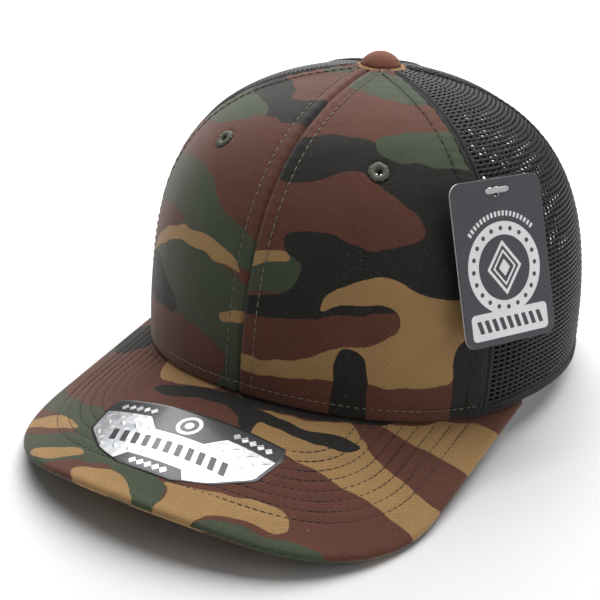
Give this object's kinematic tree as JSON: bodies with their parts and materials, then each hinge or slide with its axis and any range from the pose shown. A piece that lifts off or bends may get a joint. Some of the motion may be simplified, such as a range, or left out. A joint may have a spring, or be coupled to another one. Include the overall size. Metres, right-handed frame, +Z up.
{
  "type": "trucker cap",
  "caption": "Structured trucker cap with a camouflage cloth front and curved visor, black mesh back, snap strap, brim sticker and hang tag.",
  "frame": {"origin": "on the ground under the middle of the head opening, with the cap standing on its visor corners and snap strap", "axes": "+Z up, -Y towards the visor, +X to the wearer's left"},
  "size_m": [0.1777, 0.2507, 0.1297],
  "materials": {
    "camo_twill": "four-colour woodland camouflage cotton twill",
    "black_mesh": "open polyester mesh",
    "buckram": "stiffened cotton",
    "black_tape": "plain weave cotton tape",
    "sweatband_cotton": "cotton twill",
    "edging_cotton": "folded cotton tape",
    "label_satin": "satin ribbon, blank",
    "visor_board": "moulded polyethylene sheet",
    "sticker_foil": "embossed silver foil with a dark border",
    "eyelet_thread": "embroidery thread",
    "button_cloth": "brown cotton twill over metal",
    "button_metal": "plated",
    "strap_plastic": "black moulded plastic",
    "tag_card": "coated card, charcoal print",
    "nylon": "translucent nylon"
  },
  "bodies": {
    "cap": {"front_panel_left": "camo_twill", "front_panel_right": "camo_twill", "visor_top_cover": "camo_twill", "visor_under_cover": "camo_twill", "side_mesh_left": "black_mesh", "side_mesh_right": "black_mesh", "rear_mesh_left": "black_mesh", "rear_mesh_right": "black_mesh", "front_stiffener_left": "buckram", "front_stiffener_right": "buckram", "front_seam_tape": "black_tape", "side_seam_tape_left": "black_tape", "side_seam_tape_right": "black_tape", "rear_side_seam_tape_left": "black_tape", "rear_side_seam_tape_right": "black_tape", "rear_centre_seam_tape": "black_tape", "opening_binding": "black_tape", "rim_tape_left": "black_tape", "rim_tape_right": "black_tape", "sweatband": "sweatband_cotton", "sweatband_edging": "edging_cotton", "care_label": "label_satin", "visor_board": "visor_board", "visor_sticker": "sticker_foil", "eyelet_left": "eyelet_thread", "eyelet_right": "eyelet_thread", "button_shell": "button_cloth", "button_core": "button_metal", "button_washer": "button_metal", "peg_strap": "strap_plastic", "strap_root": "strap_plastic"},
    "strap_flap": {"strap_flap": "strap_plastic"},
    "tag_fastener": {"tag_fastener": "nylon"},
    "hang_tag": {"hang_tag_front": "tag_card", "hang_tag_back": "tag_card", "tag_paddle": "nylon"}
  },
  "joints": [
    {"name": "strap_unsnap", "type": "hinge", "parent": "cap", "child": "strap_flap", "pos_m": [0.02, 0.08996, 0.00931], "axis": [0, -0.0889, -0.996], "range_deg": [0, 75], "stiffness_Nm_per_rad": 0.01},
    {"name": "tag_swing", "type": "hinge", "parent": "cap", "child": "tag_fastener", "pos_m": [0.06809, -0.02977, 0.09919], "axis": [0.8569, -0.3792, 0.3491], "range_deg": [-30, 30]},
    {"name": "tag_lift", "type": "hinge", "parent": "tag_fastener", "child": "hang_tag", "pos_m": [0.06809, -0.02977, 0.09919], "axis": [-0.4305, -0.899, 0.0802], "range_deg": [0, 55]}
  ]
}
